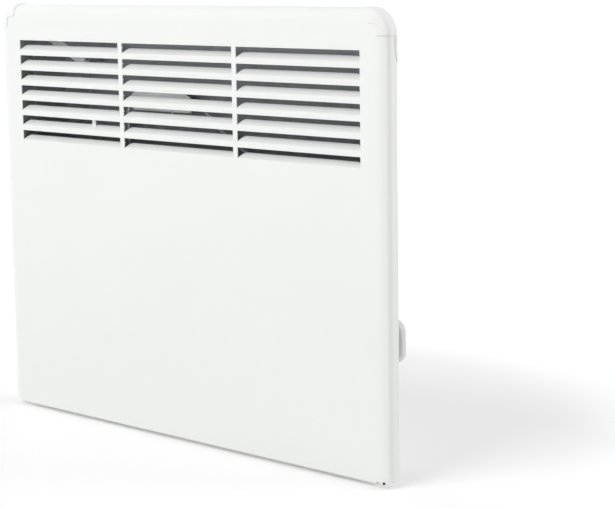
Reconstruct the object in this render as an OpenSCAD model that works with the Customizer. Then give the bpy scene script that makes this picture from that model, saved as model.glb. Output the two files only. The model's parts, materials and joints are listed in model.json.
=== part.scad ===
// Wall-hung convector panel heater: louvred sheet front, rear casing, finned element,
// side thermostat and wall bracket. Front faces -Y, the floor is z = 0, the wall is at +Y.

/* [Overall] */
// Width over the corner caps
overall_w = 451; // [445:1:470]
// Height from the floor to the top of the corner caps
overall_h = 389; // [384:1:410]
// Depth from the front of the corner caps to the wall
overall_d = 85; // [84:1:92]
// Height of the front panel's lower edge above the floor
floor_gap = 3; // [2:0.5:5]

/* [Front panel] */
// Thickness of the front sheet
panel_t = 0.8; // [0.7:0.1:1]
// Depth of the rolled side and top edges
side_depth = 13; // [12.5:0.5:15]
// Radius of the gentle part of the rolled edge
edge_r_large = 26; // [22:1:28]
// Radius of the tight part of the rolled edge
edge_r_small = 4.5; // [4:0.5:5.5]
// Angle turned by the gentle part of the rolled edge
edge_turn = 22; // [18:1:26]
// Width of the return lip behind the rolled edge
edge_lip = 5; // [3:0.5:6]
// Depth of the flange under the front sheet
bottom_flange = 12; // [9:0.5:12.5]
// Outer radius of the bend into the bottom flange
bottom_bend_r = 2; // [1.5:0.1:2.5]
// Lift of the rolled edge's lower end above the front's lower edge
corner_lift = 2.6; // [2.6:0.1:4]
// Radius of the relief notch at each lower corner
relief_r = 1.3; // [1:0.1:1.6]
// Distance of the relief notch from the panel's side
relief_inset = 7; // [6:0.5:8]

/* [Louvres] */
// Number of louvre columns
louvre_columns = 3; // [2:1:4]
// Number of louvre rows
louvre_rows = 7; // [4:1:8]
// Distance from the panel's side to the first louvre
grille_margin = 27; // [25:0.2:30]
// Bar between two louvre columns
column_gap = 4.8; // [4.2:0.2:7]
// Distance between rows
row_pitch = 14.1; // [13.5:0.1:15]
// Height of one louvre opening
cell_h = 10.4; // [9.8:0.1:10.8]
// Distance from the panel's top to the first opening
first_row_drop = 33.8; // [33:0.1:38]
// Lean of the flap from the vertical
flap_lean = 49; // [44:1:56]
// Length of the flap beyond its bend
flap_l = 6.2; // [5.4:0.2:6.8]
// Outer radius of the flap's bend
flap_bend_r = 2.4; // [1.8:0.1:2.8]
// Draw-in of the flap's ends at its tip
flap_taper = 3.9; // [3:0.1:4.5]
// Size of the eased corner at each end of the flap's tip
flap_corner = 2.6; // [1.6:0.2:3.4]

/* [Corner caps] */
// Height of the caps above the sheet's surface
cap_proud = 0.5; // [0.3:0.1:0.7]
// Radius of the corner in the front view
cap_r = 22; // [21:0.5:24]
// Wall thickness of the cap
cap_t = 2.2; // [2:0.1:2.6]
// Width of the cap's leg along the side
cap_leg = 10.5; // [9.5:0.5:11]
// Width of the cap's arm along the top
cap_arm = 20.5; // [18:0.5:21]
// Drop of the step in the seam
cap_step = 12.3; // [12:0.1:13]
// Open seam between cap and sheet
seam_gap = 0.2; // [0.2:0.05:0.4]
// Reach of the tongue behind the sheet
tongue_reach = 4; // [3:0.5:5]
// Thickness of the tongue
tongue_t = 1.2; // [1:0.1:1.5]
// Length of the tail behind the side flange
tail_l = 21; // [16:1:24]
// Depth of the tail
tail_w = 2.8; // [2.2:0.1:3]

/* [Rear casing] */
// Thickness of the casing sheet
case_t = 0.8; // [0.7:0.1:1]
// Distance of the casing's side from the side of the front
case_inset = 30; // [29:0.5:33]
// Gap between the casing's back and the wall
wall_space = 19.5; // [18:0.5:22]
// Drop of the casing's top at the front
top_front_drop = 15; // [14.5:0.5:18]
// Drop of the casing's top at the back
top_rear_drop = 37; // [34:1:40]
// Bevel of the casing's upright rear corners
case_bevel = 11; // [10.5:0.5:13]
// Thickness of the inlet guard
guard_t = 0.8; // [0.7:0.1:1]
// Number of inlet slots
guard_slots = 30; // [20:2:30]
// Width of one inlet slot
guard_slot_w = 6; // [4:0.5:7]

/* [Element] */
// Height of the element's centre
element_z = 120; // [118:1:125]
// Distance of the element's centre from the heat shield
element_gap = 24; // [23:0.5:26]
// Span of the crossed fins
fin_span = 46; // [40:1:48]
// Thickness of the fins
fin_t = 2; // [1.6:0.1:2.4]
// Radius of the element's rod
rod_r = 4; // [3.5:0.1:4.5]

/* [Controls] */
// Height of the knob's centre
knob_z = 114; // [110:1:120]
// Depth of the knob's centre
knob_d = 37; // [36:0.5:39]
// Height of the knob over its base
knob_h = 17.2; // [16:0.2:19]
// Radius of the knob's skirt
skirt_r = 19; // [17:0.5:20]
// Height of the knob's skirt
skirt_h = 4; // [3.5:0.1:4.5]
// Length of the grip
grip_l = 37; // [34:0.5:38]
// Radius of the grip's rounded ends
grip_end_r = 11; // [9:0.5:12]
// Thickness of the grip at its outer face
grip_face_t = 5.5; // [4.5:0.1:6.5]
// Radius of the thermostat's spindle
spindle_r = 3; // [2.8:0.1:3.2]
// Height of the rocker switch's centre
rocker_z = 64; // [62:1:70]
// Throw of the rocker switch
rocker_throw = 18; // [14:1:20]

/* [Wall bracket] */
// Distance of each bracket arm from the middle
arm_x = 110; // [100:1:115]
// Width of a bracket arm
arm_w = 30; // [28:1:32]
// Thickness of the bracket's sheet
arm_t = 1.5; // [1.2:0.1:2]
// Height of the lower wall screws
screw_low_z = 100; // [95:1:110]
// Height of the upper wall screws
screw_high_z = 300; // [290:1:305]
// Radius of the wall screw holes
wall_hole_r = 3; // [2.5:0.1:3.5]
// Radius of the locking pins
pin_r = 3; // [2.6:0.1:3.4]
// Travel of the locking pins
pin_travel = 19; // [18:0.5:20]

/* [Hidden] */
$fn = 96;

white = "#f4f4f2";
zinc = "#aeb2b5";
light_grey = "#d0d1d0";
dark_grey = "#4a4c4e";
copper = "#b87b4a";

// Clearances
run_gap = 0.05;
lap_gap = 0.15;
hole_gap = 0.1;
slide_gap = 0.3;
front_gap = 0.4;

// Frame: depth coordinates are counted back from the panel's face
front_y = cap_proud - overall_d / 2;
wall_d = overall_d - cap_proud;
panel_x = overall_w / 2 - cap_proud;
panel_top = overall_h - cap_proud;
edge_a = edge_r_small + (edge_r_large - edge_r_small) * sin(edge_turn);
edge_b = edge_r_large - (edge_r_large - edge_r_small) * cos(edge_turn);
corner_z = floor_gap + corner_lift;
corner_cut = edge_a + 2;
gentle_chords = 4;
tight_chords = 8;
flap_chords = 4;
corner_chords = 5;
tooth_column = 1;
tooth_drop = 4.2;
tooth_out = 1.4;
tooth_half = 1;

// Casing
case_depth = wall_d - wall_space;
case_x = overall_w / 2 - case_inset;
case_in_x = case_x - case_t;
case_back = case_depth - case_t;
bevel_in = case_bevel - (2 - sqrt(2)) * case_t;
case_front = panel_t + front_gap;
grille_half = panel_x - grille_margin;
column_pitch = (2 * grille_half + column_gap) / louvre_columns;
cell_w = column_pitch - column_gap;
mouth_in_x = max(case_in_x, grille_half + 0.5);
mouth_x = mouth_in_x + case_t;
mouth_d = 16;
case_front_top = overall_h - top_front_drop;
case_rear_top = overall_h - top_rear_drop;
top_slope = (case_front_top - case_rear_top) / (case_depth - case_front);
guard_d = side_depth + 1.5;
guard_flange = 12;
guard_front_flange = 8;
guard_margin = 5.7;
guard_rim = 6;
guard_pitch = 2 * (case_in_x - guard_margin) / guard_slots;
case_toe_z = floor_gap + 2;

// Rails and their screws
rail_t = 1;
rail_z = [40, overall_h - 45];
rail_d = 14;
rail_foot = panel_x - edge_a - mouth_x - 0.77;
side_screw_d = 9;
side_screw_z = [60, 195, overall_h - 60];
screw_r = 2;
screw_head_r = 3.5;
screw_head_h = 2;

// Heat shield
shield_t = 0.8;
shield_stand = 10.2;
shield_d = case_back - shield_stand;
shield_x = case_x - 35.5;
shield_z = [60, overall_h - 46];
shield_step_x = 96;
shield_step_z = 205;
foot_w = 12;
foot_h = 24;
foot_low_z = shield_z[0] + 4;
foot_mid_z = shield_step_z + 4;
foot_high_z = shield_z[1] - foot_h - 4;
rivet_r = 1.6;
rivet_head_r = 3;
rivet_head_h = 1;
hook_x = 77.4 - case_x;
hook_w = 4.3;
hook_h = 13.9;
hook_drop = 118.4;
hook_low_z = panel_top - hook_drop;
hook_d = 14;
hook_foot_l = 7;
peg_hole_r = 1.5;
peg_hole_x = 91 - case_x;
peg_hole_drop = [113.3, 128.3];

// Corner brace
brace_z = panel_top - 26.6;
brace_l = 52;
brace_fall = 28;
brace_w = 8;
brace_foot_w = 6;
brace_flange = 10;

// Control housing
thermostat_w = 28;
housing_t = 2;
housing_x = case_in_x - 48.7;
housing_z = [17, 194];
element_d = shield_d - element_gap;
housing_front_d = min(element_d - 12, knob_d - thermostat_w / 2 - housing_t - 3);
housing_d = [housing_front_d, case_depth - case_bevel - 0.6];
thermostat_back = min(knob_d + thermostat_w / 2, housing_d[1] - housing_t - front_gap);

// Element
bracket_t = 1.2;
bracket_right_x = housing_x - 22;
bracket_left_x = 29 - case_x;
bush_r = rod_r + 2.8;
bush_flange_r = rod_r + 5;
bush_flange_t = 1.5;
fin_clear = 8;
bracket_foot_w = 12;
lead_r = 1.6;
return_lead_z = 84;
pin_len = 7;
insulator_len = 4;
stub_len = 5;

// Limiter
plate_x = [-97.7, -23.6];
plate_top_z = panel_top - 77.4;
plate_h = 20.6;
plate_z = [plate_top_z - plate_h, plate_top_z];
plate_t = 1.2;
plate_d = shield_d - 10;
plate_cut_left = [8.9, 7.5];
plate_cut_right = [14.2, 6.9];
plate_cut_low = [3.8, 2.6];
nib_x = -46.2;
nib_w = 2.5;
nib_h = 1.8;
stay_w = 1.7;
stay_out = 5.3;
stay_drop = 14;
stay_l = 78.5;
stay_z = plate_z[0] - stay_l;
foot_l = 12;
foot_plate_w = 7;
post_x = [-92, -82];
post_z = plate_z[0] + 5;
limiter_x = -62;
limiter_z = plate_top_z - 13;
limiter_r = 8;
limiter_h = 6;
button_r = limiter_r - 3;
tag_out = 13;
tag_l = 8;
tag_w = 6;
tag_t = 0.8;
tag_lift = 4;
lead_bend = [-18, plate_d + plate_t + 2, panel_top - 87.4];
lead_knee = [9, plate_d + 2, panel_top - 110.4];
lead_end_z = housing_z[1] - 10;
lead_end_d = shield_d - 8.5;
limiter_lead_r = 1.4;

// Thermostat and knob
thermostat_h = 34;
thermostat_l = 28;
bush_thread_r = 4.9;
bush_thread_l = 4.2;
nut_r = 8;
nut_t = 2.6;
knob_base_x = case_x + 0.8;
skirt_edge = 1.2;
recess_r = 9.5;
recess_h = 3.4;
grip_base_t = 9;

// Rocker switch
rocker_half = [7.5, 11];
rocker_cavity = [5, 8.8];
rocker_body_half = [6.2, 10.4];
rocker_hole = [rocker_body_half[0] + hole_gap, rocker_body_half[1] + hole_gap];
rocker_body_l = 20;
rocker_cavity_d = 9;
rocker_pin_half = 5.6;
rocker_pivot_x = case_x - 2.5;
rocker_pin_r = 1.2;
bezel_t = 1.5;

// Supply inlet
gland_nut_t = 4;
gland_z = 34;
gland_r = 6;
gland_bore_r = 4;
gland_collar_r = gland_r + 3;
gland_collar_t = 3;
gland_nose_r = gland_r + 1.5;
gland_out = 5;
gland_in = 10;
gland_d = min(40, housing_d[1] - housing_t - gland_r - gland_nut_t - 1);
block_x = housing_x + housing_t + 4;
block_z = housing_z[0] + housing_t;
block_d = [housing_d[1] - 32, housing_d[1] - 10];
block_h = 10;
block_wall_h = 14;
block_wall_t = 2;
way_pitch = 8;
ways = 3;
terminal_r = 2;
terminal_l = 9;
terminal_head_r = 2.8;
terminal_head_t = 2;
terminal_slot = 0.8;

// Sensor bulb
bulb_r = 3.2;
bulb_d = 26;
bulb_z = 14;
bulb_l = 82;
bulb_gap = 24;
bulb_x = [housing_x - bulb_gap - bulb_l, housing_x - bulb_gap];
clip_x = [for (x = [bulb_x[0] + 10, bulb_x[1] - 9]) guard_pitch * round(x / guard_pitch)];
clip_w = 4;
clip_t = 1.2;
clip_base_w = 10;
capillary_r = 1;
capillary_z = 44;

// Wall bracket
web_d = wall_d - arm_t;
cheek_d = case_depth + 2;
arm_z = [46, overall_h - 44];
hook_z = 72;
hook_tongue_h = 12;
hook_finger_h = 12;
hook_finger_t = 3;
hook_slot_h = 26;
catch_t = 2;
catch_z = overall_h - 63;
catch_h = 16;
pin_head_r = 6;
pin_head_h = 6;
pin_head_gap = 2.5;
catch_d = case_depth + pin_head_r + pin_head_gap;
catch_l = catch_d - case_depth + pin_r + pin_head_gap;
catch_foot = 12;
rail_bar_z = [180, 205];
rail_bar_t = 1.2;

module slab(x0, x1, d0, d1, z0, z1) {
  translate([x0, front_y + d0, z0]) cube([x1 - x0, d1 - d0, z1 - z0]);
}

module rod_x(d, z, r, x0, x1) {
  translate([x0, front_y + d, z]) rotate([0, 90, 0]) cylinder(r = r, h = x1 - x0);
}

module rod_y(x, z, r, d0, d1) {
  translate([x, front_y + d0, z]) rotate([-90, 0, 0]) cylinder(r = r, h = d1 - d0);
}

// Straight round bar between two points given as [x, depth, z]
module bar(p, q, r) {
  v = q - p;
  l = norm(v);
  translate([p[0], front_y + p[1], p[2]])
    rotate([0, acos(v[2] / l), atan2(v[1], v[0])])
      cylinder(r = r, h = l, $fn = 32);
}

// Round joint between two bars, a little thicker than the bars
module ball(p, r) {
  translate([p[0], front_y + p[1], p[2]]) sphere(r = r + 0.08, $fn = 32);
}

// Outline in x and z, extruded from depth d0 to d1
module front_prism(d0, d1) {
  translate([0, front_y + d1, 0]) rotate([90, 0, 0]) linear_extrude(height = d1 - d0) children();
}

// Outline in depth and z, extruded from x0 to x1
module side_prism(x0, x1) {
  translate([x0, front_y, 0]) rotate([90, 0, 90]) linear_extrude(height = x1 - x0) children();
}

// Outline in x and depth, extruded from z0 to z1
module plan_prism(z0, z1) {
  translate([0, front_y, z0]) linear_extrude(height = z1 - z0) children();
}

module both_sides() {
  children();
  mirror([1, 0, 0]) children();
}

// Part of a ring between two directions
module ring_sector(r_out, r_in, from, to) {
  mid = (from + to) / 2;
  far = 2 * r_out;
  intersection() {
    difference() {
      circle(r = r_out);
      circle(r = r_in);
    }
    polygon([[0, 0], far * [cos(from), sin(from)], far * [cos(mid), sin(mid)],
      far * [cos(to), sin(to)]]);
  }
}

// Section of the rolled edge: flat front, gentle arc, tight arc, flat side.
// The first coordinate is zero at the sheet's outer side, the second is depth.
module edge_with_lip(reach) {
  if (reach > 0) translate([-edge_a - reach, 0]) square([reach, panel_t]);
  translate([-edge_a, edge_r_large])
    ring_sector(edge_r_large, edge_r_large - panel_t, -90, edge_turn - 90);
  translate([-edge_r_small, edge_b])
    ring_sector(edge_r_small, edge_r_small - panel_t, edge_turn - 90, 0);
  translate([-panel_t, edge_b]) square([panel_t, side_depth - edge_b]);
  translate([-edge_lip, side_depth - panel_t]) square([edge_lip, panel_t]);
}

// The same edge as a line of short chords, moved outwards by g
function edge_line(g, reach, depth) = concat(
  [[-edge_a - reach, -g]],
  [for (k = [0:gentle_chords]) let (a = edge_turn * k / gentle_chords - 90)
    [-edge_a, edge_r_large] + (edge_r_large + g) * [cos(a), sin(a)]],
  [for (k = [1:tight_chords]) let (a = (edge_turn - 90) * (1 - k / tight_chords))
    [-edge_r_small, edge_b] + (edge_r_small + g) * [cos(a), sin(a)]],
  [[g, depth]]);

module cap_section(grow, thick, depth) {
  out = edge_line(grow, cap_r - edge_a, depth);
  in = edge_line(grow - thick, cap_r - edge_a, depth);
  translate([cap_r, 0]) polygon(concat(out, [for (k = [len(in) - 1:-1:0]) in[k]]));
}

// Seam outline of a corner cap in x and z, widened by g
function cap_outline(g) = [for (p = [
  [-3, cap_r + g], [cap_leg + g, cap_r + g], [cap_leg + g, cap_step + g + 2], [cap_leg + g + 2, cap_step + g],
  [cap_arm + g - 2, cap_step + g], [cap_arm + g, cap_step + g - 2], [cap_arm + g, 5], [cap_arm + g + 5, 0],
  [cap_arm + g + 5, -3], [-3, -3]]) [panel_x - p[0], panel_top - p[1]]];

// Outline of the tail in depth and z, widened by g
function tail_outline(g) = let (z = panel_top - cap_r, d = side_depth - tail_w - g)
  [[d, z + 0.5], [d, z - tail_l * 0.65 - g], [side_depth + 0.3, z - tail_l - g], [side_depth + 0.3, z + 0.5]];

// Louvre flap in depth and z: bent at its foot, which stands on z = zb
function flap_outline(zb) = let (r = flap_bend_r, q = r - panel_t, c = [r, zb], e = 180 - flap_lean,
    go = flap_l * [sin(flap_lean), cos(flap_lean)],
    turn = [for (k = [0:flap_chords]) 180 - flap_lean * k / flap_chords])
  concat(
    [[0, zb - 0.5]],
    [for (a = turn) c + r * [cos(a), sin(a)]],
    [c + r * [cos(e), sin(e)] + go, c + q * [cos(e), sin(e)] + go],
    [for (k = [flap_chords:-1:0]) c + q * [cos(turn[k]), sin(turn[k])]],
    [[panel_t, zb - 0.5]]);

// Corner at p, eased by short chords between a and b
function eased(a, p, b) = [for (k = [0:corner_chords]) let (u = k / corner_chords)
  (1 - u) * (1 - u) * a + 2 * u * (1 - u) * p + u * u * b];

// Flap narrowed towards its tip, with eased corners
module flap(zb) {
  x = cell_w / 2;
  bend_d = flap_bend_r * (1 - cos(flap_lean));
  tip_d = bend_d + flap_l * sin(flap_lean);
  corner = [x - flap_taper, tip_d];
  back = [flap_taper, bend_d - tip_d] / norm([flap_taper, bend_d - tip_d]);
  end = eased(corner + flap_corner * back, corner, corner - [flap_corner, 0]);
  half = concat([[x, -1], [x, bend_d]], end, [[x - flap_taper - flap_corner, tip_d + 1]]);
  other = [for (k = [len(half) - 1:-1:0]) [-half[k][0], half[k][1]]];
  intersection() {
    side_prism(-x, x) polygon(flap_outline(zb));
    plan_prism(zb - 1, zb + cell_h) polygon(concat(half, other));
  }
}

module panel_sheet() {
  low = floor_gap + bottom_bend_r;
  flat_x = panel_x - edge_a;
  translate([0, front_y, low]) linear_extrude(height = panel_top - edge_a - low) both_sides()
    translate([panel_x, 0]) edge_with_lip(flat_x);
  translate([flat_x, front_y, panel_top]) rotate([0, -90, 0]) linear_extrude(height = 2 * flat_x)
    edge_with_lip(0);
  side_prism(-flat_x, flat_x) {
    translate([bottom_bend_r, low]) ring_sector(bottom_bend_r, bottom_bend_r - panel_t, 180, 270);
    translate([bottom_bend_r, floor_gap]) square([bottom_flange - bottom_bend_r, panel_t]);
  }
}

module louvre_column(i) {
  for (k = [0:louvre_rows - 1])
    translate([(i - (louvre_columns - 1) / 2) * column_pitch, 0, -k * row_pitch]) children();
}

module each_louvre() {
  for (i = [0:louvre_columns - 1]) louvre_column(i) children();
}

// Small tooth that the punch leaves on the left edge of an opening
module punch_tooth(top_z) {
  edge = -cell_w / 2;
  z = top_z - tooth_drop;
  front_prism(0, panel_t)
    polygon([[edge - 1, z - tooth_half], [edge + tooth_out, z], [edge - 1, z + tooth_half]]);
}

module front_panel() {
  top_z = panel_top - first_row_drop;
  foot_z = top_z - cell_h;
  color(white) {
    difference() {
      panel_sheet();
      each_louvre() slab(-cell_w / 2, cell_w / 2, -1, panel_t + 1, foot_z, top_z);
      both_sides() {
        front_prism(-2, side_depth + 2) polygon(cap_outline(seam_gap));
        side_prism(panel_x - edge_lip - 1, panel_x + 1) polygon(tail_outline(seam_gap));
        slab(panel_x - corner_cut, panel_x + 1, -1, side_depth + 1, floor_gap - 1, corner_z);
        rod_y(panel_x - relief_inset, corner_z - relief_r / 2, relief_r, -1, edge_b);
      }
    }
    each_louvre() flap(foot_z);
    louvre_column(tooth_column) punch_tooth(top_z);
  }
}

// Rolled edge carried round the right-hand corner
module cap_sweep(grow, thick, depth) {
  leg = tongue_reach + 2;
  translate([panel_x - cap_r, front_y, panel_top - cap_r]) {
    rotate([-90, 0, 0]) rotate([0, 0, -90]) rotate_extrude(angle = 90) cap_section(grow, thick, depth);
    translate([0, 0, -leg]) linear_extrude(height = leg) cap_section(grow, thick, depth);
    rotate([0, -90, 0]) linear_extrude(height = leg + 6) cap_section(grow, thick, depth);
  }
}

module corner_cap() {
  color(white) {
    intersection() {
      cap_sweep(cap_proud, cap_t, side_depth + 0.3);
      front_prism(-2, side_depth + 2) polygon(cap_outline(0));
    }
    intersection() {
      cap_sweep(-panel_t - lap_gap, tongue_t, side_depth - tail_w - 1);
      front_prism(-2, side_depth + 2) polygon(cap_outline(tongue_reach));
    }
    side_prism(panel_x - 1.6, panel_x + cap_proud) polygon(tail_outline(0));
  }
}

module corner_cap_right() {
  corner_cap();
}

module corner_cap_left() {
  mirror([1, 0, 0]) corner_cap();
}

module panel_rail() {
  color(white) difference() {
    union() {
      slab(mouth_x, mouth_x + rail_t, panel_t, rail_d, rail_z[0], rail_z[1]);
      slab(mouth_x, mouth_x + rail_foot, panel_t, panel_t + rail_t, rail_z[0], rail_z[1]);
    }
    for (z = side_screw_z) rod_x(side_screw_d, z, screw_r + hole_gap, mouth_x - 1, mouth_x + rail_t + 1);
  }
}

module panel_rail_right() {
  panel_rail();
}

module panel_rail_left() {
  mirror([1, 0, 0]) panel_rail();
}

module side_screws() {
  seat = mouth_x + rail_t;
  color(zinc) both_sides() for (z = side_screw_z) difference() {
    union() {
      rod_x(side_screw_d, z, screw_r, seat - 8, seat + 0.5);
      rod_x(side_screw_d, z, screw_head_r, seat, seat + screw_head_h);
    }
    slab(seat + 1, seat + screw_head_h + 1, side_screw_d - 2.4, side_screw_d + 2.4, z - 0.5, z + 0.5);
    slab(seat + 1, seat + screw_head_h + 1, side_screw_d - 0.5, side_screw_d + 0.5, z - 2.4, z + 2.4);
  }
}

// Height of the casing's top at depth d
function case_top(d) = case_front_top - (d - case_front) * top_slope;

// Plan of a box with bevelled rear corners
function bevelled_plan(x, d0, d1, bevel) =
  [[-x, d0], [x, d0], [x, d1 - bevel], [x - bevel, d1], [bevel - x, d1], [-x, d1 - bevel]];

module rear_casing() {
  in = case_front - 1;
  step = mouth_d - case_t;
  color(white) difference() {
    union() {
      intersection() {
        side_prism(-case_x, case_x)
          polygon([[step, 0], [case_depth, 0], [case_depth, case_rear_top], [step, case_top(step)]]);
        plan_prism(-1, overall_h) polygon(bevelled_plan(case_x, 0, case_depth, case_bevel));
      }
      side_prism(-mouth_x, mouth_x)
        polygon([[case_front, case_toe_z], [mouth_d, case_toe_z], [mouth_d, case_top(mouth_d)],
          [case_front, case_front_top]]);
    }
    intersection() {
      side_prism(-case_in_x, case_in_x)
        polygon([[in, -1], [case_back, -1], [case_back, case_top(case_back) - case_t],
          [in, case_top(in) - case_t]]);
      plan_prism(-2, overall_h) polygon(bevelled_plan(case_in_x, -1, case_back, bevel_in));
    }
    side_prism(-mouth_in_x, mouth_in_x)
      polygon([[in, -1], [step, -1], [step, case_top(step) - case_t], [in, case_top(in) - case_t]]);
    both_sides() {
      for (z = side_screw_z) rod_x(side_screw_d, z, screw_r + hole_gap, mouth_in_x - 1, mouth_x + 1);
      for (x = [arm_x - arm_w / 2, arm_x + arm_w / 2 - arm_t])
        slab(x - slide_gap, x + arm_t + slide_gap, case_back - 1, case_depth + 1, hook_z - hook_slot_h,
          hook_z);
      each_catch_rivet() rod_y(0, 0, rivet_r + hole_gap, case_back - 1, case_depth + 1);
    }
    each_shield_foot() rod_y(0, 0, rivet_r + hole_gap, case_back - 1, case_depth + 1);
    each_bracket_rivet() rod_y(0, 0, rivet_r + hole_gap, case_back - 1, case_depth + 1);
    rod_x(knob_d, knob_z, bush_thread_r + hole_gap, case_in_x - 1, case_x + 1);
    slab(case_in_x - 1, case_x + 1, knob_d - rocker_hole[0], knob_d + rocker_hole[0],
      rocker_z - rocker_hole[1], rocker_z + rocker_hole[1]);
    rod_x(gland_d, gland_z, gland_r + hole_gap, case_in_x - 1, case_x + 1);
  }
}

module inlet_guard() {
  color(white) difference() {
    intersection() {
      union() {
        slab(-case_in_x, case_in_x, guard_d, case_back, 0, guard_t);
        both_sides() slab(case_in_x - guard_t, case_in_x, guard_d, case_back, 0, guard_flange);
        slab(-case_in_x, case_in_x, case_back - guard_t, case_back, 0, guard_flange);
        slab(-case_in_x, case_in_x, guard_d, guard_d + guard_t, 0, guard_front_flange);
      }
      plan_prism(-1, guard_flange + 1) polygon(bevelled_plan(case_in_x, 0, case_back, bevel_in));
    }
    for (i = [0:guard_slots - 1]) {
      x = (i - (guard_slots - 1) / 2) * guard_pitch;
      slab(x - guard_slot_w / 2, x + guard_slot_w / 2, guard_d + guard_rim, case_back - guard_rim, -1,
        guard_t + 1);
    }
  }
}

// Feet of the heat shield: two on the left, two above the control housing on the right
module each_shield_foot() {
  for (z = [foot_low_z, foot_high_z]) translate([-shield_x - foot_w / 2, 0, z + foot_h / 2]) children();
  for (z = [foot_mid_z, foot_high_z]) translate([shield_x + foot_w / 2, 0, z + foot_h / 2]) children();
}

module heat_shield() {
  back = shield_d + shield_t;
  color(dark_grey) {
    difference() {
      union() {
        slab(-shield_x, shield_x, shield_d, back, shield_z[0], shield_z[1]);
        slab(-shield_x, -shield_x + shield_t, shield_d, case_back, shield_z[0], shield_z[1]);
        slab(shield_x - shield_t, shield_x, shield_d, case_back, shield_step_z, shield_z[1]);
      }
      slab(shield_step_x, shield_x + 1, shield_d - 1, case_back + 1, shield_z[0] - 1, shield_step_z);
      for (drop = peg_hole_drop) rod_y(peg_hole_x, panel_top - drop, peg_hole_r, shield_d - 1, back + 1);
    }
    difference() {
      each_shield_foot() slab(-foot_w / 2 - shield_t / 2, foot_w / 2 + shield_t / 2, case_back - shield_t,
        case_back, -foot_h / 2, foot_h / 2);
      each_shield_foot() rod_y(0, 0, rivet_r + hole_gap, case_back - 2, case_back + 1);
    }
  }
}

// Hook on the heat shield that holds the leads back
module shield_hook() {
  x = hook_x + hook_w;
  color(white) {
    slab(hook_x, x, hook_d, hook_d + plate_t, hook_low_z, hook_low_z + hook_h);
    slab(hook_x, x, hook_d, shield_d, hook_low_z, hook_low_z + plate_t);
    slab(hook_x, x, shield_d - plate_t, shield_d, hook_low_z - hook_foot_l, hook_low_z + plate_t);
  }
}

// Blind rivet through the casing's back, from depth d0 to its face
module rivet(d0) {
  rod_y(0, 0, rivet_r, d0 - rivet_head_h, case_depth + rivet_head_h);
  rod_y(0, 0, rivet_head_r, d0 - rivet_head_h, d0);
  rod_y(0, 0, rivet_head_r, case_depth, case_depth + rivet_head_h);
}

module shield_rivets() {
  color(zinc) each_shield_foot() rivet(case_back - shield_t);
}

// Slanting strip between the casing's left side and the heat shield
module corner_brace() {
  end = case_in_x - brace_l;
  foot = brace_z - brace_fall;
  color(white) mirror([1, 0, 0]) {
    front_prism(element_d, element_d + plate_t)
      polygon([[case_in_x, brace_z - brace_w], [case_in_x, brace_z],
        [end + brace_l * 0.56, brace_z - brace_fall * 0.36], [end, foot + brace_foot_w / 2],
        [end + brace_foot_w * 0.7, foot - brace_foot_w / 2], [end + brace_foot_w * 2, foot]]);
    slab(case_in_x - plate_t, case_in_x, element_d - brace_flange, element_d + plate_t, brace_z - brace_w,
      brace_z);
    slab(end, end + brace_foot_w, element_d, shield_d, foot, foot + plate_t);
    slab(end, end + brace_foot_w, shield_d - plate_t, shield_d, foot - foot_l, foot + plate_t);
  }
}

module fin_section() {
  circle(r = rod_r + 2.5);
  for (a = [45, 135]) rotate(a) {
    square([fin_span, fin_t], center = true);
    for (s = [-1, 1])
      for (u = [0.52, 0.86])
        translate([s * u * fin_span / 2, 0]) square([fin_t * 0.7, 9 - 2 * u], center = true);
  }
}

module heating_element() {
  color(zinc) {
    side_prism(bracket_left_x + bracket_t + fin_clear, bracket_right_x - fin_clear)
      translate([element_d, element_z]) fin_section();
    rod_x(element_d, element_z, rod_r, bracket_left_x - stub_len, bracket_right_x + bracket_t + stub_len);
  }
}

module each_bracket_rivet() {
  for (x = [bracket_left_x - bracket_foot_w / 2, bracket_right_x - bracket_foot_w / 2])
    for (z = [element_z - 16, element_z + 16])
      translate([x, 0, z]) children();
}

module element_bracket(x) {
  color(zinc) difference() {
    union() {
      slab(x, x + bracket_t, element_d - 14, case_back, element_z - 13, element_z + 13);
      slab(x, x + bracket_t, case_back - 8, case_back, element_z - 22, element_z + 22);
      slab(x - bracket_foot_w, x + bracket_t, case_back - bracket_t, case_back, element_z - 22,
        element_z + 22);
    }
    rod_x(element_d, element_z, bush_r + hole_gap, x - 1, x + bracket_t + 1);
    each_bracket_rivet() rod_y(0, 0, rivet_r + hole_gap, case_back - 2, case_back + 1);
  }
}

module element_bracket_left() {
  element_bracket(bracket_left_x);
}

module element_bracket_right() {
  element_bracket(bracket_right_x);
}

module element_bushes() {
  color(dark_grey) for (x = [bracket_left_x, bracket_right_x]) difference() {
    union() {
      rod_x(element_d, element_z, bush_r, x - bush_flange_t, x + bracket_t + bush_flange_t);
      rod_x(element_d, element_z, bush_flange_r, x - bush_flange_t, x);
      rod_x(element_d, element_z, bush_flange_r, x + bracket_t, x + bracket_t + bush_flange_t);
    }
    rod_x(element_d, element_z, rod_r + run_gap, x - 3, x + bracket_t + 3);
  }
}

module terminal_pins() {
  left = bracket_left_x - stub_len;
  right = bracket_right_x + bracket_t + stub_len;
  color(light_grey) {
    rod_x(element_d, element_z, 3, left - insulator_len, left);
    rod_x(element_d, element_z, lead_r, left - insulator_len - pin_len, left);
    rod_x(element_d, element_z, 3, right, right + insulator_len);
    rod_x(element_d, element_z, lead_r, right, right + insulator_len + pin_len);
  }
}

module bracket_rivets() {
  color(zinc) each_bracket_rivet() rivet(case_back - bracket_t);
}

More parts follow.
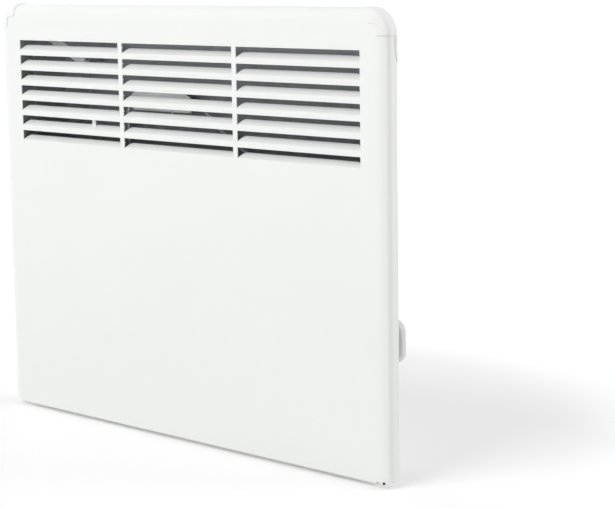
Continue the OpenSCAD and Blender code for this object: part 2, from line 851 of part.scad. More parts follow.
module limiter_bracket() {
  back = plate_d + plate_t;
  left = plate_x[0];
  right = plate_x[1];
  low = plate_z[0];
  high = plate_z[1];
  stay_right = left - stay_out + stay_w;
  color(light_grey) difference() {
    union() {
      front_prism(plate_d, back) {
        polygon([[left, low + plate_cut_low[1]], [left + plate_cut_low[0], low], [right, low],
          [right, high - plate_cut_right[1]], [right - plate_cut_right[0], high],
          [left + plate_cut_left[0], high], [left, high - plate_cut_left[1]]]);
        polygon([[left - stay_out, stay_z], [stay_right, stay_z], [stay_right, low - stay_w],
          [left + 1, low + stay_drop - 2 * stay_w], [left + 1, low + stay_drop],
          [left - stay_out, low - stay_w]]);
        polygon([[nib_x, low - nib_h], [nib_x + nib_w / 2, low + 0.5], [nib_x - nib_w / 2, low + 0.5]]);
      }
      slab(left - stay_out, left - stay_out + foot_plate_w, plate_d, shield_d, stay_z, stay_z + plate_t);
      slab(left - stay_out, left - stay_out + foot_plate_w, shield_d - plate_t, shield_d, stay_z - foot_l,
        stay_z + plate_t);
      slab(post_x[0], post_x[1], plate_d, shield_d, post_z, post_z + plate_t);
      slab(post_x[0], post_x[1], shield_d - plate_t, shield_d, post_z, post_z + foot_l);
    }
    rod_y(limiter_x, limiter_z, button_r, plate_d - 1, back + 1);
  }
}

module overheat_limiter() {
  back = plate_d + plate_t;
  color(dark_grey) {
    rod_y(limiter_x, limiter_z, limiter_r, back, back + limiter_h);
    rod_y(limiter_x, limiter_z, button_r - hole_gap, plate_d + slide_gap, back + 1);
    for (x = [limiter_x - tag_out, limiter_x + tag_out - tag_l])
      slab(x, x + tag_l, back + tag_lift, back + tag_lift + tag_t, limiter_z - tag_w / 2,
        limiter_z + tag_w / 2);
  }
}

module limiter_lead() {
  start = [limiter_x + tag_out + slide_gap, plate_d + plate_t + tag_lift + tag_t / 2, limiter_z];
  finish = [housing_x + housing_t + 6, lead_end_d, lead_end_z];
  color(light_grey) {
    bar(start, lead_bend, limiter_lead_r);
    ball(lead_bend, limiter_lead_r);
    bar(lead_bend, lead_knee, limiter_lead_r);
    ball(lead_knee, limiter_lead_r);
    bar(lead_knee, finish, limiter_lead_r);
  }
}

module control_housing() {
  x = housing_x + housing_t;
  t = housing_t;
  color(light_grey) difference() {
    slab(housing_x, case_in_x, housing_d[0], housing_d[1], housing_z[0], housing_z[1]);
    slab(x, case_in_x + 1, housing_d[0] + t, housing_d[1] - t, housing_z[0] + t, housing_z[1] - t);
    bar(lead_knee, [x + 6, lead_end_d, lead_end_z], limiter_lead_r + hole_gap);
    rod_x(element_d, element_z, lead_r + hole_gap, housing_x - 1, x + 1);
    rod_x(element_d, return_lead_z, lead_r + hole_gap, housing_x - 1, x + 1);
    rod_x(element_d, capillary_z, capillary_r + hole_gap, housing_x - 1, x + 1);
  }
}

module thermostat_body() {
  color(dark_grey) difference() {
    union() {
      slab(case_in_x - thermostat_l, case_in_x, knob_d - thermostat_w / 2, thermostat_back,
        knob_z - thermostat_h / 2, knob_z + thermostat_h / 2);
      rod_x(knob_d, knob_z, bush_thread_r, case_in_x - 1, case_in_x + bush_thread_l);
    }
    rod_x(knob_d, knob_z, spindle_r + run_gap, case_in_x - 8, case_in_x + bush_thread_l + 1);
  }
}

module thermostat_nut() {
  color(zinc) difference() {
    translate([case_x, front_y + knob_d, knob_z]) rotate([0, 90, 0])
      cylinder(r = nut_r, h = nut_t, $fn = 6);
    rod_x(knob_d, knob_z, bush_thread_r + run_gap, case_x - 1, case_x + nut_t + 1);
  }
}

module thermostat_spindle() {
  color(zinc) rod_x(knob_d, knob_z, spindle_r, case_in_x - 7.7, knob_base_x + knob_h - 5);
}

// Grip bar of the knob: tapered in thickness, with rounded ends
module knob_grip() {
  low = skirt_h - 1;
  shoulder = knob_h - grip_end_r;
  face = grip_l / 2 - grip_end_r;
  intersection() {
    rotate([90, 0, 0]) translate([0, 0, -10]) linear_extrude(height = 20) {
      translate([-grip_l / 2, low]) square([grip_l, shoulder - low]);
      translate([-face, low]) square([2 * face, knob_h - low]);
      for (x = [-face, face]) translate([x, shoulder]) intersection() {
        circle(r = grip_end_r);
        translate([-grip_l, -1]) square([2 * grip_l, grip_end_r + 2]);
      }
    }
    rotate([90, 0, 90]) translate([0, 0, -25]) linear_extrude(height = 50)
      polygon([[-grip_base_t / 2, low], [grip_base_t / 2, low], [grip_face_t / 2, knob_h],
        [-grip_face_t / 2, knob_h]]);
  }
}

module thermostat_knob() {
  color(light_grey) translate([knob_base_x, front_y + knob_d, knob_z]) rotate([0, 90, 0]) difference() {
    union() {
      rotate_extrude() polygon([[0, 0], [skirt_r, 0], [skirt_r, skirt_h - skirt_edge],
        [skirt_r - skirt_edge, skirt_h], [0, skirt_h]]);
      knob_grip();
    }
    translate([0, 0, -1]) cylinder(r = recess_r, h = recess_h + 1);
    translate([0, 0, -1]) cylinder(r = spindle_r + run_gap, h = knob_h - 4.8 + 1);
  }
}

module capillary() {
  inner_x = case_in_x - thermostat_l - 6;
  outer_x = housing_x - 6;
  top_z = knob_z - 8;
  box = [outer_x, element_d, capillary_z];
  inner = [inner_x, element_d, capillary_z];
  top = [inner_x, element_d, top_z];
  low = [outer_x, bulb_d, bulb_z];
  color(copper) {
    rod_x(bulb_d, bulb_z, bulb_r, bulb_x[0], bulb_x[1]);
    bar([bulb_x[1] - 1, bulb_d, bulb_z], low, capillary_r);
    ball(low, capillary_r);
    bar(low, box, capillary_r);
    ball(box, capillary_r);
    bar(box, inner, capillary_r);
    ball(inner, capillary_r);
    bar(inner, top, capillary_r);
    ball(top, capillary_r);
    bar(top, [case_in_x - thermostat_l, element_d, top_z], capillary_r);
  }
}

module bulb_clips() {
  half = clip_w / 2;
  base = clip_base_w / 2;
  color(zinc) for (x = clip_x) difference() {
    union() {
      rod_x(bulb_d, bulb_z, bulb_r + clip_t, x - half, x + half);
      slab(x - half, x + half, bulb_d - clip_t, bulb_d + clip_t, guard_t, bulb_z - bulb_r);
      slab(x - half, x + half, bulb_d - base, bulb_d + base, guard_t, guard_t + clip_t);
    }
    rod_x(bulb_d, bulb_z, bulb_r + run_gap, x - clip_w, x + clip_w);
  }
}

module rocker_body() {
  color(dark_grey) difference() {
    union() {
      slab(case_x - rocker_body_l, case_x, knob_d - rocker_body_half[0], knob_d + rocker_body_half[0],
        rocker_z - rocker_body_half[1], rocker_z + rocker_body_half[1]);
      slab(case_x, case_x + bezel_t, knob_d - rocker_half[0], knob_d + rocker_half[0],
        rocker_z - rocker_half[1], rocker_z + rocker_half[1]);
    }
    slab(case_x - rocker_cavity_d, case_x + bezel_t + 1, knob_d - rocker_cavity[0],
      knob_d + rocker_cavity[0], rocker_z - rocker_cavity[1], rocker_z + rocker_cavity[1]);
    rod_y(rocker_pivot_x, rocker_z, rocker_pin_r + run_gap, knob_d - rocker_pin_half - hole_gap,
      knob_d + rocker_pin_half + hole_gap);
  }
}

module rocker_button() {
  half = rocker_cavity[0] - slide_gap;
  color(dark_grey)
  translate([rocker_pivot_x, front_y + knob_d, rocker_z]) rotate([0, rocker_throw / 2, 0]) {
    translate([0, half, 0]) rotate([90, 0, 0]) linear_extrude(height = 2 * half)
      polygon([[-4, -6.5], [5, -7.4], [3.8, 0], [5, 7.4], [-4, 6.5]]);
    translate([0, -rocker_pin_half, 0]) rotate([-90, 0, 0])
      cylinder(r = rocker_pin_r, h = 2 * rocker_pin_half);
  }
}

module each_way() {
  for (k = [0:ways - 1])
    translate([block_x + (block_wall_t + way_pitch) / 2 + k * way_pitch,
      front_y + (block_d[0] + block_d[1]) / 2, block_z + block_h - terminal_l + terminal_head_t]) children();
}

module terminal_block() {
  far = block_x + ways * way_pitch;
  color(white) difference() {
    union() {
      slab(block_x, far, block_d[0], block_d[1], block_z, block_z + block_h);
      for (k = [0:ways]) translate([k * way_pitch, 0, 0])
        slab(block_x, block_x + block_wall_t, block_d[0], block_d[1], block_z, block_z + block_wall_h);
    }
    each_way() cylinder(r = terminal_r + hole_gap, h = block_wall_h);
  }
}

module terminal_screws() {
  color(zinc) each_way() difference() {
    union() {
      cylinder(r = terminal_r, h = terminal_l);
      translate([0, 0, terminal_l - terminal_head_t]) cylinder(r = terminal_head_r, h = terminal_head_t);
    }
    translate([-terminal_head_r - 1, -terminal_slot / 2, terminal_l - terminal_head_t / 2])
      cube([2 * terminal_head_r + 2, terminal_slot, terminal_head_t]);
  }
}

module cable_gland() {
  nose = case_x + gland_out;
  color(light_grey) difference() {
    union() {
      rod_x(gland_d, gland_z, gland_r, case_x - gland_in, case_x + 1);
      rod_x(gland_d, gland_z, gland_collar_r, case_x, case_x + gland_collar_t);
      rod_x(gland_d, gland_z, gland_nose_r, case_x + gland_collar_t - 1, nose);
    }
    rod_x(gland_d, gland_z, gland_bore_r, case_x - gland_in - 1, nose + 1);
  }
}

module gland_nut() {
  x = case_in_x - gland_nut_t;
  color(light_grey) difference() {
    translate([x, front_y + gland_d, gland_z]) rotate([0, 90, 0])
      cylinder(r = gland_r + gland_nut_t, h = gland_nut_t, $fn = 6);
    rod_x(gland_d, gland_z, gland_r + run_gap, x - 1, case_in_x + 1);
  }
}

module element_leads() {
  left = bracket_left_x - stub_len - insulator_len - pin_len;
  right = bracket_right_x + bracket_t + stub_len + insulator_len + pin_len;
  inside = housing_x + housing_t + 6;
  bend = [left - lead_r - hole_gap, element_d, element_z];
  corner = [bend[0], element_d, return_lead_z];
  color(white) {
    bar([right, element_d, element_z], [inside, element_d, element_z], lead_r);
    bar(bend, corner, lead_r);
    ball(bend, lead_r);
    ball(corner, lead_r);
    bar(corner, [inside, element_d, return_lead_z], lead_r);
  }
}

// Hook of a bracket arm in depth and z: tongue through the slot, finger behind the sheet
module hook_outline() {
  finger = case_back - slide_gap - hook_finger_t;
  polygon([[finger, hook_z - hook_tongue_h], [cheek_d + 1, hook_z - hook_tongue_h], [cheek_d + 1, hook_z],
    [finger + hook_finger_t, hook_z], [finger + hook_finger_t, hook_z + hook_finger_h],
    [finger, hook_z + hook_finger_h]]);
}

module bracket_arm() {
  inner = arm_x - arm_w / 2;
  outer = arm_x + arm_w / 2;
  color(zinc) difference() {
    union() {
      slab(inner, outer, web_d, wall_d, arm_z[0], arm_z[1]);
      for (x = [inner, outer - arm_t]) {
        slab(x, x + arm_t, cheek_d, wall_d, arm_z[0], arm_z[1]);
        side_prism(x, x + arm_t) hook_outline();
      }
    }
    for (z = [screw_low_z, screw_high_z]) rod_y(arm_x, z, wall_hole_r, web_d - 1, wall_d + 1);
    rod_x(catch_d, catch_z, pin_r + hole_gap, inner - 1, outer + 1);
    slab(inner - 1, inner + arm_t + 1, web_d - rail_bar_t - slide_gap, web_d, rail_bar_z[0] - slide_gap,
      rail_bar_z[1] + slide_gap);
  }
}

module bracket_arm_right() {
  bracket_arm();
}

module bracket_arm_left() {
  mirror([1, 0, 0]) bracket_arm();
}

module bracket_rail() {
  end = arm_x + arm_w / 2 - arm_t - 0.5;
  color(zinc) slab(-end, end, web_d - rail_bar_t, web_d, rail_bar_z[0], rail_bar_z[1]);
}

module each_catch_rivet() {
  for (s = [-1, 1]) translate([arm_x + catch_foot * 0.54, 0, catch_z + s * catch_h * 0.28]) children();
}

module latch_catches() {
  color(zinc) both_sides() difference() {
    union() {
      slab(arm_x - catch_t, arm_x, case_depth, case_depth + catch_l, catch_z - catch_h / 2,
        catch_z + catch_h / 2);
      slab(arm_x - catch_t, arm_x + catch_foot, case_depth, case_depth + catch_t, catch_z - catch_h / 2,
        catch_z + catch_h / 2);
    }
    rod_x(catch_d, catch_z, pin_r + hole_gap, arm_x - catch_t - 1, arm_x + 1);
    each_catch_rivet() rod_y(0, 0, rivet_r + hole_gap, case_depth - 1, case_depth + catch_t + 1);
  }
}

module catch_rivets() {
  color(zinc) both_sides() each_catch_rivet() {
    rod_y(0, 0, rivet_r, case_back - rivet_head_h, case_depth + catch_t + rivet_head_h);
    rod_y(0, 0, rivet_head_r, case_back - rivet_head_h, case_back);
    rod_y(0, 0, rivet_head_r, case_depth + catch_t, case_depth + catch_t + rivet_head_h);
  }
}

module locking_pin() {
  outer = arm_x + arm_w / 2;
  color(light_grey) {
    rod_x(catch_d, catch_z, pin_r, arm_x + 1 - pin_travel, outer + 1);
    rod_x(catch_d, catch_z, pin_head_r, outer + slide_gap, outer + pin_head_h);
  }
}

module locking_pin_right() {
  locking_pin();
}

module locking_pin_left() {
  mirror([1, 0, 0]) locking_pin();
}

front_panel();
corner_cap_left();
corner_cap_right();
panel_rail_left();
panel_rail_right();
side_screws();
rear_casing();
inlet_guard();
heat_shield();
shield_hook();
shield_rivets();
corner_brace();
heating_element();
element_bracket_left();
element_bracket_right();
element_bushes();
terminal_pins();
bracket_rivets();
limiter_bracket();
overheat_limiter();
limiter_lead();
control_housing();
thermostat_body();
thermostat_nut();
thermostat_spindle();
thermostat_knob();
capillary();
bulb_clips();
rocker_body();
rocker_button();
terminal_block();
terminal_screws();
cable_gland();
gland_nut();
element_leads();
bracket_arm_left();
bracket_arm_right();
bracket_rail();
latch_catches();
catch_rivets();
locking_pin_left();
locking_pin_right();
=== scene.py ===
"""Looks of a wall-hung convector panel heater, in the frame of its solids (metres, +Z up)."""
import json
import math

import bmesh
import bpy
from mathutils import Matrix, Vector


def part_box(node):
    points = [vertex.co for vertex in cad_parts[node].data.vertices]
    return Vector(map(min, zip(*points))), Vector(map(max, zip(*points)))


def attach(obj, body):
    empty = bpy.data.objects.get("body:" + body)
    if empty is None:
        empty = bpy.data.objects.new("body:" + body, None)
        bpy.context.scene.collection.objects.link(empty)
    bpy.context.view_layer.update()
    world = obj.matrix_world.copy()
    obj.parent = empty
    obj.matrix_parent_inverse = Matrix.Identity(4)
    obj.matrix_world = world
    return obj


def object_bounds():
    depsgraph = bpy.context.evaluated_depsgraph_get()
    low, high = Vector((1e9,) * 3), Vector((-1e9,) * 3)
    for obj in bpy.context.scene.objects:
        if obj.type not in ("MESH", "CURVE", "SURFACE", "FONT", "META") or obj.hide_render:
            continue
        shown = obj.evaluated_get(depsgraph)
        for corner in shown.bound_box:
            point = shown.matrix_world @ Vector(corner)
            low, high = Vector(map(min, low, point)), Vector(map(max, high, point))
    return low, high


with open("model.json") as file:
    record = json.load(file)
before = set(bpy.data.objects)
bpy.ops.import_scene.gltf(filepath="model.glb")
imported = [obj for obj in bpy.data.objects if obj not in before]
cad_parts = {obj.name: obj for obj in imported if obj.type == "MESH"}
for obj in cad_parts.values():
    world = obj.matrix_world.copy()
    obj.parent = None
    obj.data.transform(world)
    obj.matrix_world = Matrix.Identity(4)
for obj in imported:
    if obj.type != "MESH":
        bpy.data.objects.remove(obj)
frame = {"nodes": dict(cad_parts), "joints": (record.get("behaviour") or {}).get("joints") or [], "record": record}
cad_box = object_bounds()
scene = bpy.context.scene

# Places in the frame that the looks and the new pieces are measured from
NODE = frame["nodes"]
HINGE_AT = {joint["name"]: joint["pos_m"] for joint in frame["joints"] if "pos_m" in joint}
PANEL_LOW, PANEL_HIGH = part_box("front_panel")
CASING_LOW, CASING_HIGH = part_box("rear_casing")
HOOK_LOW, HOOK_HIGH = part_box("shield_hook")
BRACE_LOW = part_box("corner_brace")[0]

# Camera at the photograph's viewing angle
IMAGE_W = 615
SENSOR = 36.0
FOCAL_PX = 1599.82
YAW = math.radians(38.459)
PITCH = math.radians(8.473)
ROLL = math.radians(-0.809)
EYE = Vector((0.94794, -1.05429, 0.42713))
SHIFT_Y = -0.0949
SEEN_FROM = 0.02
SEEN_TO = 200.0


def add_camera():
    """Looks from EYE, turned by YAW from +Y towards -X, down by PITCH and round the line of sight by ROLL."""
    look = Vector((-math.sin(YAW) * math.cos(PITCH),
                   math.cos(YAW) * math.cos(PITCH),
                   -math.sin(PITCH)))
    right = look.cross(Vector((0, 0, 1))).normalized()
    up = right.cross(look)
    x_axis = math.cos(ROLL) * right + math.sin(ROLL) * up
    y_axis = math.cos(ROLL) * up - math.sin(ROLL) * right
    data = bpy.data.cameras.new("camera")
    data.sensor_width = SENSOR
    data.lens = FOCAL_PX * SENSOR / IMAGE_W
    data.shift_y = SHIFT_Y
    data.clip_start = SEEN_FROM
    data.clip_end = SEEN_TO
    camera = bpy.data.objects.new("camera", data)
    turn = Matrix((x_axis, y_axis, -look)).transposed().to_4x4()
    camera.matrix_world = Matrix.Translation(EYE) @ turn
    scene.collection.objects.link(camera)
    scene.camera = camera


add_camera()
scene.view_settings.view_transform = "Standard"

VECTOR_MATH = "ShaderNodeVectorMath"
# Sockets of a Mix node that hold its two colours and its result
MIX_FIRST = 6
MIX_SECOND = 7
MIX_RESULT = 2


class Nodes:
    """Short names for building a node tree."""

    def __init__(self, tree):
        self.tree = tree

    def add(self, kind, **values):
        """A node with its settings, and its inputs' values by name, with _ for a space."""
        node = self.tree.nodes.new(kind)
        for key, value in values.items():
            if hasattr(node, key):
                setattr(node, key, value)
            else:
                node.inputs[key.replace("_", " ")].default_value = value
        return node

    def link(self, source, target):
        self.tree.links.new(source, target)

    def feed(self, socket, term):
        """Gives an input a constant, or links it to another node's output."""
        if isinstance(term, bpy.types.NodeSocket):
            self.link(term, socket)
        else:
            socket.default_value = term

    def calc(self, operation, *terms, kind="ShaderNodeMath", result="Value"):
        node = self.add(kind, operation=operation)
        for socket, term in zip(node.inputs, terms):
            self.feed(socket, term)
        return node.outputs[result]

    def scaled(self, color, share):
        node = self.add(VECTOR_MATH, operation="SCALE")
        node.inputs[0].default_value = color
        self.link(share, node.inputs["Scale"])
        return node.outputs["Vector"]

    def ramp(self, source, span, levels, way="LINEAR"):
        """Goes from one level to the other as the source crosses the span, and stays level outside it."""
        node = self.add("ShaderNodeMapRange", interpolation_type=way, From_Min=span[0], From_Max=span[1],
                        To_Min=levels[0], To_Max=levels[1])
        self.link(source, node.inputs["Value"])
        return node.outputs["Result"]

    def mix_colors(self, share, first, second):
        node = self.add("ShaderNodeMix", data_type="RGBA")
        self.link(share, node.inputs["Factor"])
        self.feed(node.inputs[MIX_FIRST], first)
        self.feed(node.inputs[MIX_SECOND], second)
        return node.outputs[MIX_RESULT]

    def mix_shaders(self, share, first, second):
        node = self.add("ShaderNodeMixShader")
        for socket, source in zip(node.inputs, (share, first, second)):
            self.link(source, socket)
        return node.outputs[0]


def blank_material(name):
    look = bpy.data.materials.new(name)
    look.use_nodes = True
    look.node_tree.nodes.clear()
    return look, Nodes(look.node_tree)


# Mottle, gloss and grain that every surface has, and how deep light goes into plastic that lets it through
NOISE_USED = (0.3, 0.7)
MOTTLE_NOISE = {"Detail": 4.0, "Roughness": 0.55}
GLOSS_NOISE = {"Detail": 3.0, "Roughness": 0.6}
GLOSS_FINER = 2.3
GRAIN_ROUGHNESS = 0.5
LEAST_ROUGH = 0.05
PLASTIC_DEPTH = 0.008


def surface(name, color, rough, metal=0.0, mottle=0.03, mottle_scale=40, rough_vary=0.08, bumps=(),
            stretch=(1, 1, 1), glow_through=0.0):
    """Mottled colour, uneven gloss and layers of fine bumps (scale, height in metres, detail)."""
    look, t = blank_material(name)
    out = t.add("ShaderNodeOutputMaterial")
    shader = t.add("ShaderNodeBsdfPrincipled", Base_Color=(*color, 1), Roughness=rough, Metallic=metal)
    t.link(shader.outputs[0], out.inputs["Surface"])
    if glow_through:
        shader.inputs["Subsurface Weight"].default_value = glow_through
        shader.inputs["Subsurface Radius"].default_value = (1, 1, 1)
        shader.inputs["Subsurface Scale"].default_value = PLASTIC_DEPTH
    where = t.add("ShaderNodeTexCoord")
    place = t.add("ShaderNodeMapping", Scale=stretch)
    t.link(where.outputs["Object"], place.inputs["Vector"])

    def noise(**values):
        node = t.add("ShaderNodeTexNoise", **values)
        t.link(place.outputs[0], node.inputs["Vector"])
        return node.outputs["Fac"]

    share = t.ramp(noise(Scale=mottle_scale, **MOTTLE_NOISE), NOISE_USED, (1 - mottle, 1 + mottle))
    t.link(t.scaled(color, share), shader.inputs["Base Color"])
    gloss = t.ramp(noise(Scale=mottle_scale * GLOSS_FINER, **GLOSS_NOISE), NOISE_USED,
                   (max(rough - rough_vary, LEAST_ROUGH), min(rough + rough_vary, 1)))
    t.link(gloss, shader.inputs["Roughness"])
    normal = shader.inputs["Normal"]
    for scale, height, detail in reversed(bumps):
        bump = t.add("ShaderNodeBump", Strength=1.0, Distance=height)
        t.link(noise(Scale=scale, Detail=detail, Roughness=GRAIN_ROUGHNESS), bump.inputs["Height"])
        t.link(bump.outputs[0], normal)
        normal = bump.inputs["Normal"]
    return look


SHIELD = (0.286, 0.3, 0.32)
FINISHES = {
    "white_enamel": dict(color=(0.86, 0.873, 0.856), rough=0.4, mottle=0.006, mottle_scale=9,
                         bumps=((900, 0.00001, 2), (90, 0.00002, 2))),
    "white_plastic": dict(color=(0.872, 0.878, 0.87), rough=0.5, mottle=0.006,
                          bumps=((2600, 0.00001, 2),)),
    "zinc_sheet": dict(color=(0.65, 0.655, 0.66), rough=0.42, metal=0.9, mottle=0.045, mottle_scale=90,
                       rough_vary=0.12, bumps=((400, 0.00001, 3),)),
    "fin_metal": dict(color=(0.5, 0.5, 0.5), rough=0.38, metal=0.9, mottle=0.06, mottle_scale=60,
                      bumps=((900, 0.00001, 2),), stretch=(0.08, 1, 1)),
    "grey_plastic": dict(color=(0.665, 0.67, 0.67), rough=0.46, mottle=0.01,
                         bumps=((2600, 0.000012, 2),), glow_through=0.8),
    "black_plastic": dict(color=(0.035, 0.035, 0.037), rough=0.5, mottle=0.05,
                          bumps=((2200, 0.000015, 2),)),
    "bush_rubber": dict(color=(0.42, 0.13, 0.08), rough=0.6, mottle=0.04,
                        bumps=((1500, 0.00001, 2),)),
    "copper_tube": dict(color=(0.62, 0.33, 0.2), rough=0.34, metal=1.0, mottle=0.1, mottle_scale=120,
                        bumps=((700, 0.00001, 2),)),
    "shield_steel": dict(color=SHIELD, rough=0.55, metal=0.2, mottle=0.08, mottle_scale=60,
                         bumps=((400, 0.00001, 3),)),
    "bright_zinc": dict(color=(0.9, 0.905, 0.91), rough=0.36, metal=0.15, mottle=0.06, mottle_scale=260,
                        rough_vary=0.1, bumps=((500, 0.00001, 3),)),
    "mark_ink": dict(color=(0.16, 0.16, 0.165), rough=0.6, mottle=0.05, mottle_scale=300,
                     bumps=((3000, 0.000005, 2),)),
    "lead_sleeve": dict(color=(0.7, 0.7, 0.68), rough=0.7, mottle=0.04, mottle_scale=300,
                        bumps=((2400, 0.00005, 2),)),
}
LOOK = {name: surface(name, **finish) for name, finish in FINISHES.items()}

# Bare inside of the casing: its colour, how far its mouth's middle lies behind its front,
# and its painted shade (sides, front) and painted light (top), each with a span and the share of the colour at
# both ends
BARE_SHEET = (0.475, 0.5, 0.53)
MOUTH_MIDDLE = 0.009
SIDE_PAINTED_SHADE = ((CASING_HIGH.x - 0.0393, CASING_HIGH.x - 0.0233), (1.0, 0.76))
FRONT_PAINTED_SHADE = ((CASING_LOW.y + 0.0058, CASING_LOW.y + 0.0458), (0.58, 1.0))
TOP_PAINTED_LIGHT = ((CASING_HIGH.z - 0.044, CASING_HIGH.z - 0.026), (1.0, 1.35))
# Where the painted shade on the brace's foot begins, behind its front
FOOT_SHADE_BEHIND = 0.016


def dress_nodes():
    for part in frame["record"]["subparts"]:
        slots = NODE[part["node"]].data.materials
        slots.clear()
        slots.append(LOOK[part["material_slot"]])


def repaint(node, look, name):
    """Gives a node its own copy of a look. Returns the copy's nodes and the input that holds its colour."""
    copy = LOOK[look].copy()
    copy.name = name
    NODE[node].data.materials[0] = copy
    shader = next(n for n in copy.node_tree.nodes if n.type == "BSDF_PRINCIPLED")
    return Nodes(copy.node_tree), shader.inputs["Base Color"]


def bare_inside():
    """The casing is painted outside only: faces that look towards its mouth's middle are bare sheet, with painted
    shade towards its sides and front and painted light near its top.
    """
    t, color = repaint("rear_casing", "white_enamel", "casing_paint")
    middle = (CASING_LOW + CASING_HIGH) / 2
    middle.y = CASING_LOW.y + MOUTH_MIDDLE
    shape = t.add("ShaderNodeNewGeometry")
    place = shape.outputs["Position"]
    outward = t.calc("SUBTRACT", place, middle, kind=VECTOR_MATH, result="Vector")
    facing = t.calc("DOT_PRODUCT", outward, shape.outputs["True Normal"], kind=VECTOR_MATH)
    inner = t.calc("LESS_THAN", facing, 0.0)
    axes = t.add("ShaderNodeSeparateXYZ")
    t.link(place, axes.inputs[0])
    # Painted shade and light on the bare sheet: darker towards the side walls and the front, lighter near the top
    painted_shading = t.ramp(t.calc("ABSOLUTE", axes.outputs["X"]), *SIDE_PAINTED_SHADE)
    painted_shading = t.calc("MULTIPLY", painted_shading, t.ramp(axes.outputs["Y"], *FRONT_PAINTED_SHADE))
    painted_shading = t.calc("MULTIPLY", painted_shading, t.ramp(axes.outputs["Z"], *TOP_PAINTED_LIGHT))
    paint = color.links[0].from_socket
    t.link(t.mix_colors(inner, paint, t.scaled(BARE_SHEET, painted_shading)), color)


def brace_foot_painted_shade():
    """The brace keeps its bright zinc where it faces the louvres; behind that, at its spot-welded foot, it has
    painted shade in the shield's dark colour.
    """
    t, color = repaint("corner_brace", "bright_zinc", "brace_zinc_and_painted_shade")
    shape = t.add("ShaderNodeNewGeometry")
    axes = t.add("ShaderNodeSeparateXYZ")
    t.link(shape.outputs["Position"], axes.inputs[0])
    # Painted shade: the brace's deeper part, at its foot, takes the shield's dark colour
    deep = t.calc("GREATER_THAN", axes.outputs["Y"], BRACE_LOW.y + FOOT_SHADE_BEHIND)
    bright = color.links[0].from_socket
    t.link(t.mix_colors(deep, bright, (*SHIELD, 1)), color)


dress_nodes()
bare_inside()
brace_foot_painted_shade()


def add_piece(name, bm, body, look):
    """A new piece from a bmesh, in the frame's metres, that moves with a body."""
    bmesh.ops.recalc_face_normals(bm, faces=bm.faces)
    mesh = bpy.data.meshes.new(name)
    bm.to_mesh(mesh)
    bm.free()
    mesh.materials.append(LOOK[look])
    obj = bpy.data.objects.new(name, mesh)
    scene.collection.objects.link(obj)
    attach(obj, body)


def skin(bm, rings, hoop=False):
    """Joins rings of points by faces. Closes both ends or, for a hoop, joins the last ring to the first."""
    loops = [[bm.verts.new(co) for co in ring] for ring in rings]
    followers = loops[1:] + loops[:1] if hoop else loops[1:]
    for a, b in zip(loops, followers):
        for i in range(len(a)):
            j = (i + 1) % len(a)
            bm.faces.new((a[i], a[j], b[j], b[i]))
    if not hoop:
        bm.faces.new(loops[0])
        bm.faces.new(loops[-1])


EASE_STEPS = 2
EASE_ROUND = 0.5


def ease(bm, width):
    """Rounds every edge that the bmesh has so far."""
    bmesh.ops.bevel(bm, geom=bm.edges[:], affect="EDGES", offset=width, segments=EASE_STEPS,
                    profile=EASE_ROUND)


def corners(left, right, low, high):
    return (left, low), (right, low), (right, high), (left, high)


def turns(count):
    """Angles that divide a circle evenly."""
    return [math.tau * k / count for k in range(count)]


# Clip on the shield's hook, with its nose on the louvre's flap. Each section has its reach from the
# hook's front, and its left, right, lower and upper edge from the hook's upper left corner.
CLIP_SECTIONS = ((0.0000, 0.0001, 0.0042, -0.00431, -0.0001),
                 (0.0084, 0.0077, 0.0125, -0.00431, 0.0001),
                 (0.0105, 0.0099, 0.0147, -0.00605, 0.0001))
CLIP_EASE = 0.0002


def louvre_clip():
    bm = bmesh.new()
    skin(bm, [[(HOOK_LOW.x + x, HOOK_LOW.y - reach, HOOK_HIGH.z + z) for x, z in corners(*edges)]
              for reach, *edges in CLIP_SECTIONS])
    ease(bm, CLIP_EASE)
    add_piece("louvre_clip", bm, "casing", "white_plastic")


# Bumper in the relief notch at the panel's lower right corner, with a tongue behind the sheet.
# Depths are from the panel's face, heights from the middle of the bumper's oval head.
BUMPER_IN = 0.007
BUMPER_UP = 0.00195
BUMPER_TALL = 1.26
BUMPER_SIDES = 20
BUMPER_DEPTH_RADIUS = ((0.00022, 0.0004), (0.00032, 0.0008), (0.0006, 0.00103),
                       (0.002, 0.00103), (0.0022, 0.0008))
TONGUE_HALF = 0.0009
TONGUE_DEPTHS = (0.0016, 0.0024)
TONGUE_HEIGHTS = (0.0, 0.0045)
TONGUE_EASE = 0.00018


def edge_bumper():
    middle = Vector((PANEL_HIGH.x - BUMPER_IN, PANEL_LOW.y, PANEL_LOW.z + BUMPER_UP))
    tongue = corners(-TONGUE_HALF, TONGUE_HALF, *TONGUE_DEPTHS)
    bm = bmesh.new()
    skin(bm, [[middle + Vector((x, depth, height)) for x, depth in tongue] for height in TONGUE_HEIGHTS])
    ease(bm, TONGUE_EASE)
    skin(bm, [[middle + Vector((r * math.cos(a), depth, BUMPER_TALL * r * math.sin(a)))
               for a in turns(BUMPER_SIDES)] for depth, r in BUMPER_DEPTH_RADIUS])
    add_piece("edge_bumper", bm, "casing", "black_plastic")


# Marks on the right-hand side: dial ticks round the knob, a bar and a ring on the rocker.
# They are measured from the axes that the knob and the rocker turn about.
MARK_LIFT = Vector((0.00006, 0, 0))
MARK_SINK = Vector((-0.0001, 0, 0))
LOOK_FROM = cad_box[1][0] + 0.03
DIAL_ANGLES = range(-30, 211, 30)
TICK_RADII = (0.0201, 0.0228)
TICK_HALF = 0.00032
TICK_BEHIND_PANEL = 0.0034
BAR_HALF = 0.0003
BAR_HEIGHTS = (0.0015, 0.0048)
RING_BELOW = 0.0046
RING_RADII = (0.00165, 0.0011)
RING_SIDES = 24


